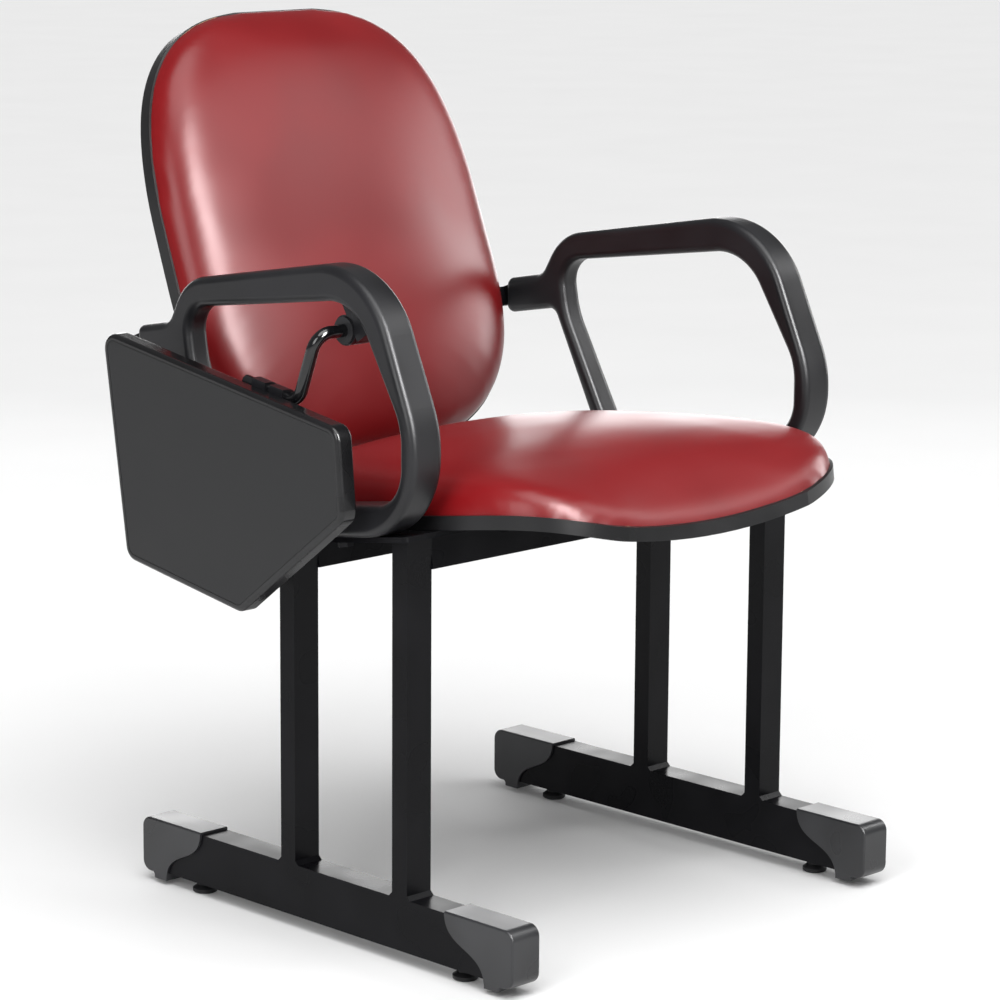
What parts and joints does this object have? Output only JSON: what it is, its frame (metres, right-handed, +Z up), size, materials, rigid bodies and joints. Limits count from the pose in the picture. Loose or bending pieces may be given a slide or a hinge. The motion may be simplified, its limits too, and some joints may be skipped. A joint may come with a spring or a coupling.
{
  "type": "auditorium chair with writing tablet",
  "caption": "Auditorium chair with glossy red padded seat and back, black loop arms, twin-post steel sled feet and a swing-up writing tablet stowed at the right arm.",
  "frame": {"origin": "on the floor, at the middle of the chair's box in plan, tablet included", "axes": "+Z up, -Y the way the sitter faces, -X the sitter's right hand, the tablet's side"},
  "size_m": [0.6061, 0.6341, 0.8373],
  "materials": {
    "vinyl_red": "gloss",
    "shell_black": "satin",
    "arm_black": "satin",
    "frame_black": "semi-gloss",
    "cap_grey": "satin",
    "glide_black": "matte",
    "tablet_grey": "matte",
    "edge_black": "gloss",
    "rod_black": "gloss",
    "zinc_steel": "satin",
    "black_steel": "satin",
    "plywood": "raw",
    "bush_nylon": "satin"
  },
  "bodies": {
    "chair": {"foot_beam_right": "frame_black", "foot_cap_front_right": "cap_grey", "post_front_right": "frame_black", "foot_cap_rear_right": "cap_grey", "post_rear_right": "frame_black", "side_plate_right": "frame_black", "arm_right": "arm_black", "back_bracket_right": "frame_black", "foot_beam_left": "frame_black", "foot_cap_front_left": "cap_grey", "post_front_left": "frame_black", "foot_cap_rear_left": "cap_grey", "post_rear_left": "frame_black", "side_plate_left": "frame_black", "arm_left": "arm_black", "back_bracket_left": "frame_black", "glide_nuts": "zinc_steel", "post_welds": "frame_black", "cross_beam_front": "frame_black", "cross_beam_rear": "frame_black", "seat_shell": "shell_black", "seat_plywood": "plywood", "seat_tee_nuts": "zinc_steel", "seat_bolts": "black_steel", "seat_cushion": "vinyl_red", "back_shell": "shell_black", "back_plywood": "plywood", "back_tee_nuts": "zinc_steel", "back_bolts": "black_steel", "back_cushion": "vinyl_red", "arm_inserts": "zinc_steel", "arm_bolts": "black_steel", "pivot_block": "black_steel", "pivot_bolts": "black_steel", "pivot_bush": "bush_nylon"},
    "tablet": {"tablet_board": "tablet_grey", "tablet_edging": "edge_black", "tablet_strap_front": "black_steel", "tablet_strap_rear": "black_steel", "tablet_screws": "zinc_steel", "tablet_rod": "rod_black", "pivot_washer": "zinc_steel", "pivot_nut": "zinc_steel"},
    "levelling_front_right": {"glide_front_right": "glide_black"},
    "levelling_front_left": {"glide_front_left": "glide_black"},
    "levelling_rear_right": {"glide_rear_right": "glide_black"},
    "levelling_rear_left": {"glide_rear_left": "glide_black"}
  },
  "joints": [
    {"name": "tablet_swing", "type": "hinge", "parent": "chair", "child": "tablet", "pos_m": [-0.2435, -0.09213, 0.58], "axis": [-1, 0, 0], "range_deg": [0, 189]},
    {"name": "level_front_right", "type": "slide", "parent": "chair", "child": "levelling_front_right", "axis": [0, 0, -1], "range_m": [0, 0.01]},
    {"name": "level_front_left", "type": "slide", "parent": "chair", "child": "levelling_front_left", "axis": [0, 0, -1], "range_m": [0, 0.01]},
    {"name": "level_rear_right", "type": "slide", "parent": "chair", "child": "levelling_rear_right", "axis": [0, 0, -1], "range_m": [0, 0.01]},
    {"name": "level_rear_left", "type": "slide", "parent": "chair", "child": "levelling_rear_left", "axis": [0, 0, -1], "range_m": [0, 0.01]}
  ]
}
